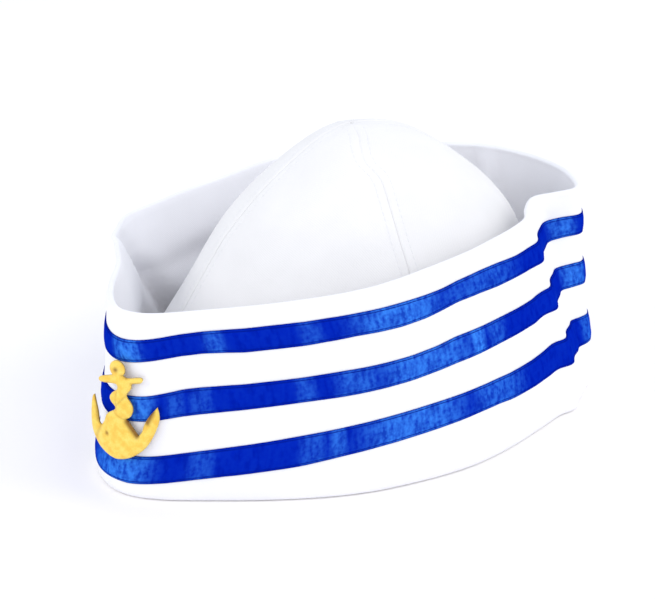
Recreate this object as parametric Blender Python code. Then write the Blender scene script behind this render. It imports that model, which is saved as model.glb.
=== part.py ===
"""A sailor cap: four cloth gores make a domed crown, inside a stiffened cuff that is turned up all round it.

Three ribbons run round the cuff, and an anchor badge is sewn over its front bend. The cap's front faces -Y,
its left side +X and its top +Z. It rests on the cuff's bottom fold, at z = 0.
"""
import functools
import math

import bmesh
import bpy
from mathutils import Vector

MM = 0.001
GAP = 0.3                  # clearance between neighbouring pieces, mm
FULL_TURN = 2 * math.pi

# Cuff: each row is one upright section of its outer face, going round from the left side to the back.
# base_x and base_y are the wall's foot just above the fold, rim_x and rim_y its upper edge, pressed how far
# its middle is drawn in, and top_dip and low_dip how much lower than elsewhere the top and the lowest ribbon
# are sewn, in mm.
CUFF_SECTIONS = (
    # name             base_x  base_y   rim_x   rim_y pressed top_dip low_dip
    ("left_middle",        78.5,  -12.6,   73.5,  -12.6,    1.0,   -1.2,   -2.8),
    ("left_back_1",        74.0,   22.4,   63.7,   23.9,    1.0,   -0.3,   -2.0),
    ("left_back_2",        64.0,   46.4,   55.5,   41.9,    1.0,    0.2,   -1.4),
    ("kink_before",        50.0,   68.9,   49.0,   53.9,    1.0,    0.8,   -0.4),
    ("kink_start",         40.5,   82.4,   43.5,   59.6,    1.0,    1.2,    0.2),
    ("kink_slope",         31.0,   94.4,   35.5,   64.8,    1.0,    1.4,    0.8),
    ("kink_foot",          24.5,  100.4,   27.3,   70.9,    1.0,    1.6,    1.6),
    ("kink_pleat",         21.0,  103.2,   25.9,   77.9,    1.0,    1.6,    2.4),
    ("back_corner_near",   17.0,  105.4,   26.5,   87.9,    1.0,    1.6,    3.6),
    ("back_corner",        13.0,  107.0,   23.8,   92.6,    1.0,    2.2,    4.6),
    ("back_corner_far",     6.0,  108.8,   14.5,   95.4,    1.0,    2.4,    5.0),
    ("back_middle",        -4.0,  110.2,    2.5,   96.7,    1.0,    1.6,    3.5),
    ("back_right_1",      -16.5,  110.2,  -12.9,   94.4,    1.0,    0.8,    1.8),
    ("back_right_2",      -30.0,  106.4,  -27.0,   89.2,    1.0,    0.2,    0.6),
    ("back_right_3",      -43.5,   97.9,  -40.1,   82.0,    1.0,    0.0,    0.0),
    ("back_right_4",      -56.0,   84.4,  -52.0,   67.8,    1.0,    0.0,    0.0),
    ("right_back",        -69.0,   63.9,  -64.5,   47.9,    2.0,    0.0,    0.0),
    ("right_middle",      -78.5,   17.4,  -75.3,    7.4,    3.5,    0.0,    0.0),
    ("right_front_1",     -71.5,  -28.6,  -65.8,  -25.6,    4.0,    0.0,    0.0),
    ("right_front_2",     -65.0,  -46.6,  -59.5,  -43.6,    4.5,    0.0,    0.0),
    ("right_front_3",     -57.5,  -63.6,  -53.5,  -56.6,    5.5,    0.0,    0.0),
    ("front_corner_far",  -48.5,  -76.1,  -48.0,  -69.6,    7.0,    0.0,    0.0),
    ("front_right",       -36.0,  -83.1,  -40.5,  -76.2,    9.0,    0.0,    0.0),
    ("front_dent_far",    -20.5,  -89.1,  -21.5,  -83.1,    9.0,    0.0,    0.0),
    ("front_dent",         -5.5,  -94.1,   -2.0,  -87.6,    6.5,    0.5,    0.5),
    ("front_middle",        9.5, -100.6,   12.5,  -93.9,    3.0,    1.0,    1.0),
    ("badge_right",        24.0, -105.6,   27.0,  -99.2,    1.0,    1.8,    1.8),
    ("badge_middle",       37.5, -106.0,   39.5, -100.9,    1.0,    2.0,    2.0),
    ("badge_left",         48.0, -101.6,   47.5,  -97.9,    1.0,    1.8,    1.8),
    ("front_left_1",       55.5,  -92.6,   54.1,  -91.0,    1.0,    1.0,    1.0),
    ("front_left_2",       62.5,  -76.6,   60.3,  -75.8,    1.0,    0.0,   -0.2),
    ("front_left_3",       73.9,  -43.6,   70.4,  -44.1,    1.0,   -1.4,   -1.8),
)
COLUMNS_PER_SECTION = 3
DIRECTION_STEP = 0.05      # part of a section either way over which the wall's direction is taken
RIM_HEIGHT = 80.9          # rim height over the cap's middle
RIM_RISE = 0.085           # the rim climbs this much per mm towards the back
WALL = 2.4                 # the stiffened cuff, two cloths and their interlining
WALL_FOOT = 7.0            # height at which the wall leaves its fold
RIM_ROUND = 0.7
SHARP_ANGLE = 45.0         # edges folded more than this are shaded as creases
HEM_THICK = 3.0            # turned-in hem under the crown's lower edge
FOLD_ROWS = (
    # height  inset from the outer face
    (0.0,     2.2),
    (1.0,     0.7),
    (3.6,     0.1),
)
TROUGH_ROWS = (
    # height  inset, down the foot of the inner face to the hem's top
    (7.0,     2.4),
    (4.4,     2.7),
    (3.0,     4.0),
)
INNER_DROPS = (27.0, 53.0)  # rows of the cuff's inner face, below the rim

# Ribbons: upper and lower edge as drops below the rim
RIBBONS = (
    # name             upper   lower
    ("ribbon_top",       8.5,   17.7),
    ("ribbon_middle",   30.1,   39.9),
    ("ribbon_bottom",   52.9,   63.4),
)
RIBBON_THICK = 0.6

# Crown: rows of the dome's reach from its own axis, in mm
CROWN_CENTRE = (4.5, 3.9)
CROWN_ROWS = (
    # height  front   back   left  right
    (3.3,     116.0, 116.0,  86.0,  90.0),
    (17.0,     96.0, 101.0,  70.0,  76.0),
    (41.5,     75.0,  83.0,  59.0,  62.0),
    (61.5,     62.5,  70.5,  51.0,  52.0),
    (78.0,     52.5,  63.5,  44.0,  45.0),
    (91.5,     40.5,  53.5,  36.0,  37.0),
    (103.5,    27.5,  40.5,  26.0,  26.5),
    (111.5,    17.5,  29.5,  17.5,  18.0),
    (116.1,     9.5,  20.0,  11.0,  11.0),
    (118.1,     3.5,   9.5,   4.5,   4.5),
    (118.5,     0.3,   0.3,   0.3,   0.3),
)
CROWN_WALL = 1.6
CROWN_STEPS = 15
GORE_COLUMNS = 10
GORES = (
    # name                       its two seams, degrees from +X
    ("crown_gore_back_left",       4.0,   90.0),
    ("crown_gore_back_right",     90.0,  180.0),
    ("crown_gore_front_right",   180.0,  270.0),
    ("crown_gore_front_left",    270.0,  364.0),
)
CUFF_CLEARANCE = 1.8       # least space between crown and cuff, cloth to cloth
CLEARANCE_SOFTNESS = 3.0

# Badge: the anchor's outline, across and up from its own middle, in mm
STOCK_HALF = (
    # name              across     up
    ("shank_top",          2.1,  15.2),
    ("stock_root",         2.7,  14.1),
    ("stock_end_top",      9.3,  13.9),
    ("stock_end",          9.9,  13.0),
    ("stock_end_low",      9.3,  12.1),
    ("stock_under",        3.6,  12.0),
)
ARM_HALF = (
    ("arm_shoulder",       5.0,  -5.9),
    ("arm_notch",          6.9,  -8.8),
    ("arm_inside",         8.9,  -7.0),
    ("barb",              10.6,  -3.2),
    ("fluke_tip",         14.9,   3.8),
)
SHANK_HALF = 3.6
SHANK_ENDS = (10.4, -3.0)
SHANK_POINTS = 13
SHANK_WAVE = 1.5           # sideways swing of the twisted shank
SHANK_PITCH = 9.3
SHANK_WAVE_TOP = 11.1
ARM_CENTRE_UP = -2.2
ARM_RADIUS = 15.2
ARM_POINTS = 9
RING_UP = 17.8
RING_RADIUS = 3.3
RING_OPEN_ANGLE = 40.0     # half the angle over which the ring joins the shank
RING_POINTS = 14
HOLE_RADIUS = 0.7
HOLE_POINTS = 8
BADGE_THICK = 1.6
BADGE_FACING = 40.0        # degrees from the front towards the left side
BADGE_TURN = 4.0           # degrees that the anchor leans in its own plane
BADGE_HEIGHT = 33.0        # height of the anchor's middle
BADGE_ALONG = -29.4        # place of its middle along its own face, from the cap's axis
BADGE_BEND = 30.0          # radius of the badge's own bend, mm
BADGE_HALF_SPAN = 15.5
BEND_STEP = 3.0            # spacing of its bend lines

MATERIALS = {
    # name: (colour, roughness)
    "white_cloth": ((0.93, 0.93, 0.95), 0.85),
    "blue_satin": ((0.006, 0.035, 0.53), 0.32),
    "gold_thread": ((0.87, 0.62, 0.13), 0.5),
}


def clear_scene():
    for old in list(bpy.data.objects):
        bpy.data.objects.remove(old)


def cloth_material(name):
    colour, roughness = MATERIALS[name]
    material = bpy.data.materials.new(name)
    material.use_nodes = True
    shader = material.node_tree.nodes["Principled BSDF"]
    shader.inputs["Base Color"].default_value = (*colour, 1.0)
    shader.inputs["Roughness"].default_value = roughness
    shader.inputs["Metallic"].default_value = 0.0
    return material


def add_piece(name, bm, material):
    """Makes a named, smooth-shaded object of a finished mesh whose sizes are in mm."""
    bmesh.ops.scale(bm, vec=(MM, MM, MM), verts=bm.verts)
    bmesh.ops.recalc_face_normals(bm, faces=bm.faces)
    mesh = bpy.data.meshes.new(name)
    bm.to_mesh(mesh)
    bm.free()
    mesh.materials.append(material)
    mesh.shade_smooth()
    mesh.set_sharp_from_angle(angle=math.radians(SHARP_ANGLE))
    piece = bpy.data.objects.new(name, mesh)
    bpy.context.scene.collection.objects.link(piece)
    return piece


def smooth_row(rows, at, closed):
    """The row at a fractional index, on a cubic through the given rows."""
    count = len(rows)
    first = math.floor(at)
    share = at - first

    def row(index):
        if closed:
            return rows[index % count]
        return rows[min(max(index, 0), count - 1)]

    before, start, end, after = (row(first + step) for step in (-1, 0, 1, 2))
    result = []
    for a, b, c, d in zip(before, start, end, after):
        slope_in = (c - a) / 2
        slope_out = (d - b) / 2
        result.append(
            b
            + share * (slope_in + share * (3 * (c - b) - 2 * slope_in - slope_out
                                           + share * (2 * (b - c) + slope_in + slope_out)))
        )
    return result


def add_ring(bm, points):
    return [bm.verts.new(point) for point in points]


def skin_rings(bm, rings, closed=True):
    """Quads between neighbouring rings of equal length; each ring runs round one section."""
    pairs = list(zip(rings, rings[1:]))
    if closed:
        pairs.append((rings[-1], rings[0]))
    for here, there in pairs:
        for index, vertex in enumerate(here):
            following = (index + 1) % len(here)
            bm.faces.new((vertex, here[following], there[following], there[index]))


# --- cuff -----------------------------------------------------------------------------------------

SECTION_SIZES = [row[1:] for row in CUFF_SECTIONS]
COLUMN_COUNT = len(CUFF_SECTIONS) * COLUMNS_PER_SECTION


def rim_height(at):
    rim_y = smooth_row(SECTION_SIZES, at, True)[3]
    return RIM_HEIGHT + RIM_RISE * rim_y


def ribbon_height(at, drop):
    """The height at which a ribbon's edge is sewn, a drop below the rim and its local dip."""
    top_dip, low_dip = smooth_row(SECTION_SIZES, at, True)[5:]
    share = (drop - RIBBONS[0][1]) / (RIBBONS[-1][1] - RIBBONS[0][1])
    return rim_height(at) - drop - top_dip - (low_dip - top_dip) * share


def wall_line(at, height):
    """A point of the cuff's outer wall, before it is drawn in or tucked under."""
    base_x, base_y, rim_x, rim_y = smooth_row(SECTION_SIZES, at, True)[:4]
    top = RIM_HEIGHT + RIM_RISE * rim_y
    share = min(max((height - WALL_FOOT) / (top - WALL_FOOT), 0.0), 1.0)
    return Vector((base_x + (rim_x - base_x) * share, base_y + (rim_y - base_y) * share, height)), share


def cuff_point(at, height, inset=0.0):
    """A point of the cuff at a height, moved inwards from its outer face."""
    point, share = wall_line(at, height)
    along = wall_line(at + DIRECTION_STEP, height)[0] - wall_line(at - DIRECTION_STEP, height)[0]
    inward = Vector((-along.y, along.x, 0)).normalized()
    pressed = smooth_row(SECTION_SIZES, at, True)[4]
    return point + inward * (inset + pressed * math.sin(math.pi * share))


def cuff_section(at):
    """The closed outline of the cuff at one section: fold, outer face, rim, inner face and hem."""
    top = rim_height(at)
    points = [cuff_point(at, height, inset) for height, inset in FOLD_ROWS]
    lowest_edge = ribbon_height(at, RIBBONS[-1][2])
    points.append(cuff_point(at, (FOLD_ROWS[-1][0] + lowest_edge) / 2))
    for _, upper, lower in reversed(RIBBONS):
        points.append(cuff_point(at, ribbon_height(at, lower)))
        points.append(cuff_point(at, ribbon_height(at, upper)))
    points.append(cuff_point(at, top - RIM_ROUND))
    for inset in (RIM_ROUND, WALL - RIM_ROUND):
        points.append(cuff_point(at, top, inset))
    points.append(cuff_point(at, top - RIM_ROUND, WALL))
    for drop in INNER_DROPS:
        points.append(cuff_point(at, top - drop, WALL))
    points += [cuff_point(at, height, inset) for height, inset in TROUGH_ROWS]
    hem = hem_edge(points[-1])
    points.append(Vector((hem.x, hem.y, HEM_THICK)))
    points.append(Vector((hem.x, hem.y, 0.0)))
    return points


def hem_edge(point):
    """Where the hem ends inwards, below the crown's inner face."""
    out = Vector((point.x - CROWN_CENTRE[0], point.y - CROWN_CENTRE[1], 0))
    reach = crown_reach(math.atan2(out.y, out.x), CROWN_ROWS[0]) - CROWN_WALL
    return Vector((*CROWN_CENTRE, 0)) + out.normalized() * reach


def make_cuff(material):
    bm = bmesh.new()
    rings = [add_ring(bm, cuff_section(column / COLUMNS_PER_SECTION)) for column in range(COLUMN_COUNT)]
    skin_rings(bm, rings)
    return add_piece("cuff", bm, material)


def make_ribbon(name, upper, lower, material):
    bm = bmesh.new()
    rings = []
    for column in range(COLUMN_COUNT):
        at = column / COLUMNS_PER_SECTION
        corners = ((lower, GAP), (lower, GAP + RIBBON_THICK), (upper, GAP + RIBBON_THICK), (upper, GAP))
        rings.append(add_ring(bm, [cuff_point(at, ribbon_height(at, drop), -proud) for drop, proud in corners]))
    skin_rings(bm, rings)
    return add_piece(name, bm, material)


# --- crown ----------------------------------------------------------------------------------------


@functools.lru_cache(maxsize=None)
def cuff_trace(height):
    """(direction, reach) of the cuff's inner face from the crown's axis, all round at one height."""
    trace = []
    for column in range(COLUMN_COUNT):
        point = cuff_point(column / COLUMNS_PER_SECTION, height, WALL)
        across = point.x - CROWN_CENTRE[0]
        along = point.y - CROWN_CENTRE[1]
        trace.append((math.atan2(along, across) % FULL_TURN, math.hypot(across, along)))
    trace.sort()
    first, last = trace[0], trace[-1]
    return [(last[0] - FULL_TURN, last[1]), *trace, (first[0] + FULL_TURN, first[1])]


def cuff_reach(angle, height):
    trace = cuff_trace(height)
    angle %= FULL_TURN
    for (low, near), (high, far) in zip(trace, trace[1:]):
        if low <= angle <= high:
            return near + (far - near) * (angle - low) / (high - low)
    return trace[0][1]


def crown_reach(angle, row):
    """The crown's outer reach in one direction, held off the cuff where the cuff presses in."""
    height, front, back, left, right = row
    across = left if math.cos(angle) > 0 else right
    along = back if math.sin(angle) > 0 else front
    reach = 1 / math.hypot(math.cos(angle) / across, math.sin(angle) / along)
    if height > RIM_HEIGHT:
        return reach
    limit = cuff_reach(angle, height) - CUFF_CLEARANCE
    excess = (reach - limit) / CLEARANCE_SOFTNESS
    return reach - CLEARANCE_SOFTNESS * math.log1p(math.exp(excess))


def crown_point(angle, row):
    reach = crown_reach(angle, row)
    return Vector((CROWN_CENTRE[0] + reach * math.cos(angle), CROWN_CENTRE[1] + reach * math.sin(angle), row[0]))


def gore_angles(seams, row):
    """Directions across a gore at one row, a half gap short of the seam on either side."""
    start, end = (math.radians(seam) for seam in seams)
    start += math.asin(GAP / 2 / crown_reach(start, row))
    end -= math.asin(GAP / 2 / crown_reach(end, row))
    return [start + (end - start) * column / GORE_COLUMNS for column in range(GORE_COLUMNS + 1)]


def keep_off_seams(point, seams):
    """Moves a point that has crossed a seam plane back to a half gap from it."""
    centre = Vector((*CROWN_CENTRE, 0))
    for seam, side in zip(seams, (1, -1)):
        normal = Vector((-math.sin(math.radians(seam)), math.cos(math.radians(seam)), 0)) * side
        short = GAP / 2 - (point - centre).dot(normal)
        if short > 0:
            point = point + normal * short
    return point


def make_gore(name, seams, material):
    last = len(CROWN_ROWS) - 1
    rows = [smooth_row(CROWN_ROWS, last * step / CROWN_STEPS, False) for step in range(CROWN_STEPS + 1)]
    outer = [[crown_point(angle, row) for angle in gore_angles(seams, row)] for row in rows]
    inner = []
    for step, line in enumerate(outer):
        below = outer[max(step - 1, 0)]
        above = outer[min(step + 1, CROWN_STEPS)]
        inner_line = []
        for column, point in enumerate(line):
            left = line[max(column - 1, 0)]
            right = line[min(column + 1, GORE_COLUMNS)]
            outward = (right - left).cross(above[column] - below[column]).normalized()
            if step == CROWN_STEPS:
                outward = Vector((0, 0, 1))
            if step == 0:
                outward = Vector((outward.x, outward.y, 0)).normalized()
            inner_line.append(keep_off_seams(point - outward * CROWN_WALL, seams))
        inner.append(inner_line)
    bm = bmesh.new()
    rings = [add_ring(bm, line + inner_line[::-1]) for line, inner_line in zip(outer, inner)]
    skin_rings(bm, rings, False)
    half = GORE_COLUMNS + 1
    for ring in (rings[0], rings[-1]):
        for column in range(GORE_COLUMNS):
            opposite = 2 * half - 1 - column
            bm.faces.new((ring[column], ring[column + 1], ring[opposite - 1], ring[opposite]))
    return add_piece(name, bm, material)


# --- badge ----------------------------------------------------------------------------------------


def shank_swing(up):
    return SHANK_WAVE * math.cos(2 * math.pi * (up - SHANK_WAVE_TOP) / SHANK_PITCH)


def arc(centre_up, radius, start, end, count):
    """Points on a circle about the anchor's axis, both ends included, angles in degrees."""
    points = []
    for index in range(count):
        angle = math.radians(start + (end - start) * index / (count - 1))
        points.append((radius * math.cos(angle), centre_up + radius * math.sin(angle)))
    return points


def anchor_side(side):
    """One side of the outline, from the ring down to the keel; side is 1 for right and -1 for left."""
    points = [(side * across, up) for _, across, up in STOCK_HALF]
    for index in range(SHANK_POINTS):
        up = SHANK_ENDS[0] + (SHANK_ENDS[1] - SHANK_ENDS[0]) * index / (SHANK_POINTS - 1)
        points.append((side * SHANK_HALF + shank_swing(up), up))
    points += [(side * across, up) for _, across, up in ARM_HALF]
    points += [(side * across, up) for across, up in arc(ARM_CENTRE_UP, ARM_RADIUS, 0, -90, ARM_POINTS)[:-1]]
    return points


@functools.lru_cache(maxsize=None)
def badge_seat(height):
    """How far the badge's back stands from the cap's axis, clear of the cuff and its ribbons."""
    facing = math.radians(BADGE_FACING)
    out = Vector((math.sin(facing), -math.cos(facing), 0))
    aside = Vector((math.cos(facing), math.sin(facing), 0))
    seat = 0.0
    for column in range(COLUMN_COUNT):
        point = cuff_point(column / COLUMNS_PER_SECTION, height, -(2 * GAP + RIBBON_THICK))
        from_middle = point.dot(aside) - BADGE_ALONG
        if abs(from_middle) < BADGE_HALF_SPAN and point.dot(out) > 0:
            sag = BADGE_BEND - math.sqrt(BADGE_BEND ** 2 - from_middle ** 2)
            seat = max(seat, point.dot(out) + sag)
    return seat


def place_on_badge(across, up, proud):
    """A point of the flat anchor, laid on its bent seat at the cuff's front."""
    turn = math.radians(BADGE_TURN)
    along = across * math.cos(turn) - up * math.sin(turn)
    height = BADGE_HEIGHT + across * math.sin(turn) + up * math.cos(turn)
    facing = math.radians(BADGE_FACING)
    out = Vector((math.sin(facing), -math.cos(facing), 0))
    aside = Vector((math.cos(facing), math.sin(facing), 0))
    bend = along / BADGE_BEND
    radius = BADGE_BEND + proud
    depth = badge_seat(round(height)) - BADGE_BEND + radius * math.cos(bend)
    return out * depth + aside * (BADGE_ALONG + radius * math.sin(bend)) + Vector((0, 0, height))


def make_badge(material):
    bm = bmesh.new()
    outline = arc(RING_UP, RING_RADIUS, -90 + RING_OPEN_ANGLE, 270 - RING_OPEN_ANGLE, RING_POINTS)
    outline += anchor_side(-1)
    outline.append((0.0, ARM_CENTRE_UP - ARM_RADIUS))
    outline += anchor_side(1)[::-1]
    step = 360 / HOLE_POINTS
    hole = arc(RING_UP, HOLE_RADIUS, 0, 360 - step, HOLE_POINTS)
    for loop in (outline, hole):
        vertices = [bm.verts.new((across, up, 0)) for across, up in loop]
        for index, vertex in enumerate(vertices):
            bm.edges.new((vertex, vertices[(index + 1) % len(vertices)]))
    bmesh.ops.triangle_fill(bm, use_beauty=True, edges=bm.edges[:])
    lines = int(ARM_RADIUS / BEND_STEP)
    for index in range(-lines, lines + 1):
        everything = bm.verts[:] + bm.edges[:] + bm.faces[:]
        bmesh.ops.bisect_plane(bm, geom=everything, plane_co=(index * BEND_STEP, 0, 0), plane_no=(1, 0, 0))
    result = bmesh.ops.extrude_face_region(bm, geom=bm.faces[:])
    for item in result["geom"]:
        if isinstance(item, bmesh.types.BMVert):
            item.co.z = BADGE_THICK
    for vertex in bm.verts:
        vertex.co = place_on_badge(*vertex.co)
    return add_piece("anchor_badge", bm, material)


def main():
    clear_scene()
    white = cloth_material("white_cloth")
    blue = cloth_material("blue_satin")
    gold = cloth_material("gold_thread")
    make_cuff(white)
    for name, upper, lower in RIBBONS:
        make_ribbon(name, upper, lower, blue)
    for name, *seams in GORES:
        make_gore(name, seams, white)
    make_badge(gold)


main()
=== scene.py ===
import math

import bmesh
import bpy
import numpy as np
from mathutils import Matrix, Vector, noise
from mathutils.bvhtree import BVHTree


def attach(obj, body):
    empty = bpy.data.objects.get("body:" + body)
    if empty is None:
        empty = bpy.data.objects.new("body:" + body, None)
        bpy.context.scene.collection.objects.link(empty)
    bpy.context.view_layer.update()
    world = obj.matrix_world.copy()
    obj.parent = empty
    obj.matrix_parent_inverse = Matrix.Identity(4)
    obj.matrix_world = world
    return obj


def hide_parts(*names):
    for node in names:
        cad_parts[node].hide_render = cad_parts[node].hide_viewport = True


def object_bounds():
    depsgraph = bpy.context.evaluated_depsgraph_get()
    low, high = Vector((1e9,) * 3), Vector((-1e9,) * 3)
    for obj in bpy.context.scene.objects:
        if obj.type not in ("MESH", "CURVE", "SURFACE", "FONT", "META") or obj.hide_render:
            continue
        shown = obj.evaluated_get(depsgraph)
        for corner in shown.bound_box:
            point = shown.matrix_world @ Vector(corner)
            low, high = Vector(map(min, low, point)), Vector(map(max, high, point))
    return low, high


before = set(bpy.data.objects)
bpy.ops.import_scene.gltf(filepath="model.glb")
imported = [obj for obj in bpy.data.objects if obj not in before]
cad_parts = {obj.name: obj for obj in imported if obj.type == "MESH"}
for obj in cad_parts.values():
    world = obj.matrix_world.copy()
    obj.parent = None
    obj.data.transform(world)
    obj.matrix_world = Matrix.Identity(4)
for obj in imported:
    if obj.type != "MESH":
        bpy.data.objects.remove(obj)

MM = 0.001
cad_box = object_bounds()
box_middle = (cad_box[0] + cad_box[1]) / 2

# --- camera -----------------------------------------------
# A long lens stands to the cap's front left and looks down on it. Its place is given from the middle
# of the cap's box: back along the view, aside and up.
PHOTO_WIDTH = 655
FOCAL_LENGTH = 2250            # in pixels of the photograph
SENSOR_WIDTH = 36.0
AZIMUTH = 69.0                 # degrees round from the cap's front
ELEVATION = 22.0
CAMERA_BACK = 874.6
CAMERA_ASIDE = -3.76
CAMERA_UP = -13.08


def aim(azimuth, elevation):
    """The direction from the cap to a place so many degrees round from its front, and above it."""
    azimuth, elevation = math.radians(azimuth), math.radians(elevation)
    level = math.cos(elevation)
    return Vector((math.sin(azimuth) * level, -math.cos(azimuth) * level, math.sin(elevation)))


back = aim(AZIMUTH, ELEVATION)
right = aim(AZIMUTH + 90, 0)
up = back.cross(right)
lens = bpy.data.cameras.new("camera")
lens.sensor_width = SENSOR_WIDTH
lens.lens = SENSOR_WIDTH * FOCAL_LENGTH / PHOTO_WIDTH
camera = bpy.data.objects.new("camera", lens)
stand = Matrix((right, up, back)).transposed().to_4x4()
stand.translation = box_middle + MM * (back * CAMERA_BACK + right * CAMERA_ASIDE + up * CAMERA_UP)
camera.matrix_world = stand
bpy.context.scene.collection.objects.link(camera)
bpy.context.scene.camera = camera

# --- light and floor --------------------------------------
# An even, slightly cool sky and four broad lamps: one by the camera, one off each of its shoulders and a
# weak one behind. The cap stands on a plain sheet of white paper.
SKY_STRENGTH = 0.94
SKY_COLOUR = (0.87, 0.915, 1.0)
LAMP_COLOUR = (1.0, 0.96, 0.905)
LAMPS = (
    # name          azimuth  elevation  distance  width  power
    ("front_lamp",      4.0,      27.0,      1.5,   0.8,   4.6),
    ("side_lamp",     154.0,      32.0,      1.5,   1.2,   6.0),
    ("camera_lamp",    78.0,      34.0,      1.5,   0.8,   4.0),
    ("back_lamp",     240.0,      32.0,      1.6,   1.0,   1.2),
)
FLOOR_WIDTH = 14.0
PAPER_COLOUR = (0.99, 0.97, 0.955)
PAPER_GRAIN = 400.0            # specks to the metre


class Shade:
    """A socket in a material. Sums written on it add the nodes that work them out."""

    def __init__(self, tree, socket=None):
        self.tree = tree
        self.socket = socket

    def node(self, kind, settings=None, inputs=None, output=0):
        """Adds a node: its settings first, then the values or links of its sockets."""
        made = self.tree.nodes.new(kind)
        for name, value in (settings or {}).items():
            setattr(made, name, value)
        for name, value in (inputs or {}).items():
            if isinstance(value, Shade):
                self.tree.links.new(value.socket, made.inputs[name])
            else:
                made.inputs[name].default_value = value
        return Shade(self.tree, made.outputs[output])

    def maths(self, operation, first, second=0.0):
        return self.node("ShaderNodeMath", {"operation": operation}, {0: first, 1: second})

    def __add__(self, other):
        return self.maths("ADD", self, other)

    __radd__ = __add__

    def __sub__(self, other):
        return self.maths("SUBTRACT", self, other)

    def __rsub__(self, other):
        return self.maths("SUBTRACT", other, self)

    def __mul__(self, other):
        return self.maths("MULTIPLY", self, other)

    __rmul__ = __mul__

    def sine(self):
        return self.maths("SINE", self)

    def part(self, axis):
        """One coordinate of this vector."""
        return self.node("ShaderNodeSeparateXYZ", None, {0: self}, output=axis)

    def stretched(self, *factors):
        """This vector with each coordinate multiplied."""
        return self.node("ShaderNodeVectorMath", {"operation": "MULTIPLY"}, {0: self, 1: factors})

    def mix(self, low, high):
        """The colour low where this value is 0, and high where it is 1."""
        colours = {6: low, 7: high}
        for name, value in colours.items():
            if not isinstance(value, Shade):
                colours[name] = (*value, 1.0)
        return self.node("ShaderNodeMix", {"data_type": "RGBA"}, {0: self, **colours}, output=2)

    def speckle(self, scale, detail=2.0):
        """Noise read at this vector, 0.5 on average."""
        return self.node("ShaderNodeTexNoise", None, {"Vector": self, "Scale": scale, "Detail": detail})

    def ramp(self, *stops):
        """This value taken through a ramp of (place, level) stops."""
        shade = self.node("ShaderNodeValToRGB", None, {0: self})
        elements = shade.socket.node.color_ramp.elements
        while len(elements) < len(stops):
            elements.new(1.0)
        for element, (place, level) in zip(elements, stops):
            element.position = place
            element.color = (level, level, level, 1.0)
        return shade

    def bump(self, strength, height):
        """Normals for a surface raised by this value, in mm where it is 1."""
        inputs = {"Strength": strength, "Distance": height * MM, "Height": self}
        return self.node("ShaderNodeBump", None, inputs)

    def place(self):
        """The point's own place, in metres."""
        return self.node("ShaderNodeTexCoord", output=3)

    def chart(self):
        """The point's place on the flat cloth that the piece is made of, in mm."""
        return self.node("ShaderNodeUVMap", {"uv_map": "cloth"})

    def level(self, name):
        """A number laid down on the piece's mesh."""
        return self.node("ShaderNodeAttribute", {"attribute_name": name}, output=2)


def new_finish(name, constants):
    """A material, a Shade to start its sums from, and its shader with the constant sockets set."""
    material = bpy.data.materials.new(name)
    material.use_nodes = True
    shader = material.node_tree.nodes["Principled BSDF"]
    for socket, value in constants.items():
        shader.inputs[socket].default_value = value
    return material, Shade(material.node_tree), shader


def feed(shader, sockets):
    for name, shade in sockets.items():
        shade.tree.links.new(shade.socket, shader.inputs[name])


def paper():
    material, start, shader = new_finish("white_paper", {"Roughness": 0.9, "Specular IOR Level": 0.2})
    grain = start.place().speckle(PAPER_GRAIN)
    shadowed = tuple(0.985 * channel for channel in PAPER_COLOUR)
    feed(shader, {"Base Color": grain.mix(shadowed, PAPER_COLOUR)})
    return material


def made_piece(name, bm, material):
    """An object of a finished bmesh, at the origin."""
    mesh = bpy.data.meshes.new(name)
    bm.to_mesh(mesh)
    bm.free()
    mesh.materials.append(material)
    piece = bpy.data.objects.new(name, mesh)
    bpy.context.scene.collection.objects.link(piece)
    return piece


sky = bpy.data.worlds.new("pale_sky")
sky.use_nodes = True
sky.node_tree.nodes["Background"].inputs["Color"].default_value = (*SKY_COLOUR, 1.0)
sky.node_tree.nodes["Background"].inputs["Strength"].default_value = SKY_STRENGTH
bpy.context.scene.world = sky
bpy.context.scene.view_settings.view_transform = "Standard"
for name, azimuth, elevation, distance, width, power in LAMPS:
    lamp = bpy.data.lights.new(name, "AREA")
    lamp.size = width
    lamp.energy = power
    lamp.color = LAMP_COLOUR
    holder = bpy.data.objects.new(name, lamp)
    holder.location = aim(azimuth, elevation) * distance
    holder.rotation_euler = aim(azimuth, elevation).to_track_quat("Z", "Y").to_euler()
    bpy.context.scene.collection.objects.link(holder)

bm = bmesh.new()
bmesh.ops.create_grid(bm, x_segments=1, y_segments=1, size=FLOOR_WIDTH / 2)
floor = made_piece("floor", bm, paper())

# --- crown ------------------------------------------------
# Four gores of white plain-weave cloth, joined by four seams that meet at the top. Each gore's edges are
# turned in at the seam and topstitched a few millimetres from it.
SEAMS = (4.0, 90.0, 180.0, 270.0)      # degrees from the cap's left side
GORE_NAMES = ("back_left", "back_right", "front_right", "front_left")
NEAR_SEAM_DRIFT = (
    # height  degrees that the left seam strays, nearer the front where negative
    (3.0,      0.0),
    (60.0,     1.0),
    (74.0,     2.4),
    (84.0,     0.8),
    (95.0,     0.2),
    (103.5,    0.3),
    (106.0,   -2.5),
    (108.5,   -9.0),
    (111.0,  -12.0),
    (114.5,  -12.0),
    (118.5,   -6.0),
)
CROWN_FOOT = 3.1               # height of its lower edge
CAST_COLUMNS = 144             # rays cast at the frame's crown to find its smooth shape
CAST_ROWS = 72
CAST_FROM = (0.5, 0.3)         # the first ray, in columns and rows
CAST_SOFTENING = 5
GORE_COLUMNS = 64
GORE_ROWS = 96
GORE_CROWDING = 0.10           # how far the columns crowd towards the seams
SEAM_GROOVE = 0.16             # how deep the turned edges dip at a seam, mm
SEAM_GROOVE_WIDTH = 0.6
SEAM_RIDGE = 0.24              # rise of the double cloth beside a seam
SEAM_RIDGE_WIDTH = 5.5
TOPSTITCH_FROM_SEAM = 3.4
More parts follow.
